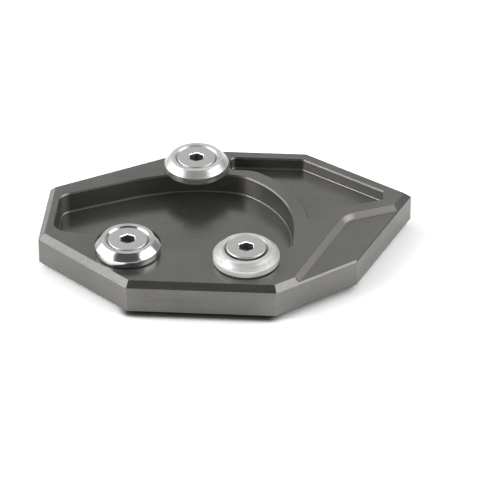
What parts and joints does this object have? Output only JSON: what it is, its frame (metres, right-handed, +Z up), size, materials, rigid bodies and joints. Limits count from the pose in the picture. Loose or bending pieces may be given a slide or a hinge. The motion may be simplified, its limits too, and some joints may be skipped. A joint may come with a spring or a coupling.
{
  "type": "kickstand foot enlarger",
  "caption": "Milled aluminium plate with a recess for a side stand's foot, clamped by bevelled washers and countersunk socket screws.",
  "frame": {"origin": "middle of the plate's outline, on the ground plane under it", "axes": "+X along the plate's two parallel long edges, from the narrow left end to the tip of the step; +Y from the front edge to the back edge; +Z up, out of the foot pocket"},
  "size_m": [0.107, 0.0718, 0.016],
  "materials": {
    "anodised_plate": "satin grey anodised",
    "turned_washer": "turned and polished stainless steel",
    "screw_steel": "matt stainless steel"
  },
  "bodies": {
    "root": {"base_plate": "anodised_plate", "clamp_washer_back": "turned_washer", "clamp_screw_back": "screw_steel", "clamp_washer_front_left": "turned_washer", "clamp_screw_front_left": "screw_steel", "clamp_washer_front_right": "turned_washer", "clamp_screw_front_right": "screw_steel"}
  },
  "joints": []
}
